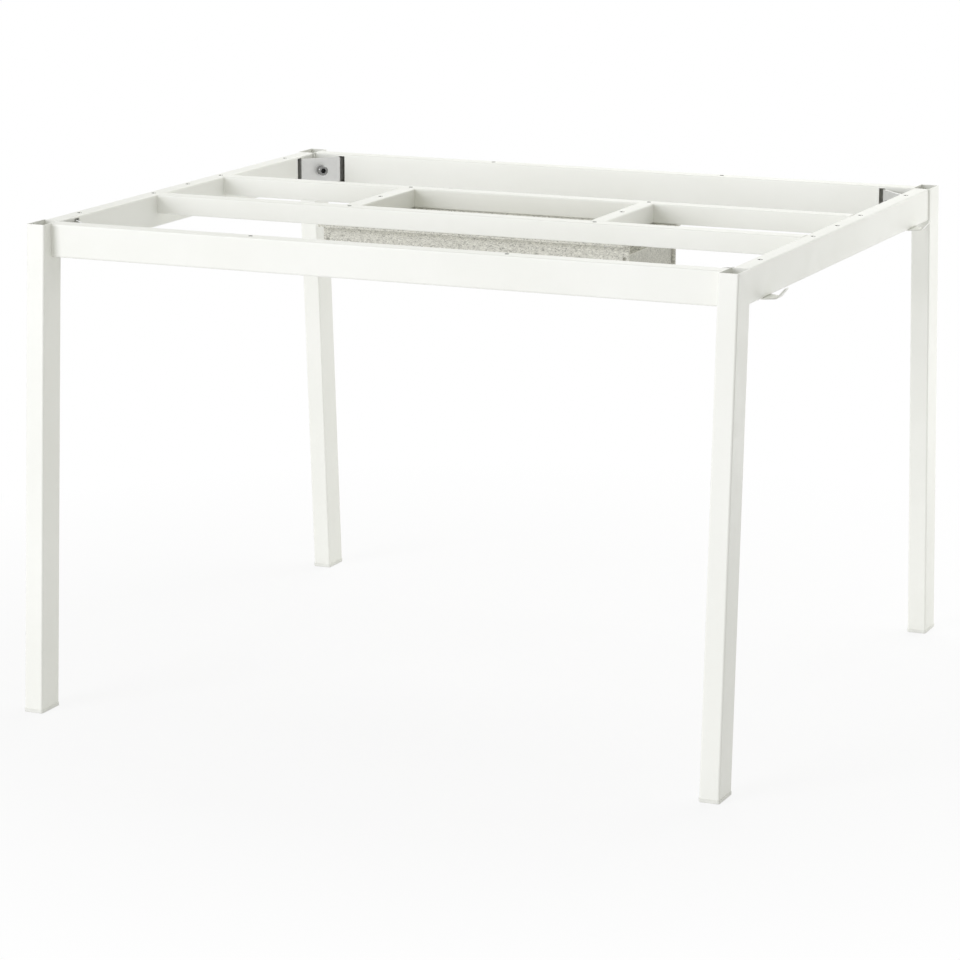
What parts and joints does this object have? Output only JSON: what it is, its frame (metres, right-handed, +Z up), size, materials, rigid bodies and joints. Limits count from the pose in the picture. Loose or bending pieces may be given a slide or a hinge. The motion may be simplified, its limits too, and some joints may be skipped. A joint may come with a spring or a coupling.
{
  "type": "table frame",
  "caption": "Knock-down steel table frame with leaning tube legs, rails bolted at the corners, inner rails with a felt cable tray, and hooks for bags.",
  "frame": {"origin": "on the floor, under the middle of the frame", "axes": "+X along the long rails to the right side rail, +Y from the front rail to the back rail, +Z up"},
  "size_m": [1.1546, 1.021, 0.73],
  "materials": {
    "powder_coat": "warm white powder coat, satin, finely textured",
    "zinc_plate": "zinc-plated steel, satin",
    "foot_plastic": "moulded pale grey plastic",
    "felt": "heathered light grey pressed felt with darker fibres"
  },
  "bodies": {
    "root": {"back_inner_rail": "powder_coat", "back_rail": "powder_coat", "bag_hook_back_left": "powder_coat", "bag_hook_back_right": "powder_coat", "bag_hook_front_left": "powder_coat", "bag_hook_front_right": "powder_coat", "corner_bolt_back_left": "zinc_plate", "corner_bolt_back_right": "zinc_plate", "corner_bolt_front_left": "zinc_plate", "corner_bolt_front_right": "zinc_plate", "corner_bracket_back_left": "zinc_plate", "corner_bracket_back_right": "zinc_plate", "corner_bracket_front_left": "zinc_plate", "corner_bracket_front_right": "zinc_plate", "corner_washer_back_left": "zinc_plate", "corner_washer_back_right": "zinc_plate", "corner_washer_front_left": "zinc_plate", "corner_washer_front_right": "zinc_plate", "cross_bar_tongue_back_left": "powder_coat", "cross_bar_tongue_back_right": "powder_coat", "cross_bar_tongue_front_left": "powder_coat", "cross_bar_tongue_front_right": "powder_coat", "foot_back_left": "foot_plastic", "foot_back_right": "foot_plastic", "foot_front_left": "foot_plastic", "foot_front_right": "foot_plastic", "front_inner_rail": "powder_coat", "front_rail": "powder_coat", "hook_screws": "zinc_plate", "inner_rail_tongue_back_left": "powder_coat", "inner_rail_tongue_back_right": "powder_coat", "inner_rail_tongue_front_left": "powder_coat", "inner_rail_tongue_front_right": "powder_coat", "left_cross_bar": "powder_coat", "left_rail": "powder_coat", "leg_back_left": "powder_coat", "leg_back_right": "powder_coat", "leg_front_left": "powder_coat", "leg_front_right": "powder_coat", "leg_nut_back_left": "zinc_plate", "leg_nut_back_right": "zinc_plate", "leg_nut_front_left": "zinc_plate", "leg_nut_front_right": "zinc_plate", "right_cross_bar": "powder_coat", "right_rail": "powder_coat", "tray_end_left": "felt", "tray_end_right": "felt", "tray_screws": "zinc_plate", "tray_trough": "felt"}
  },
  "joints": []
}
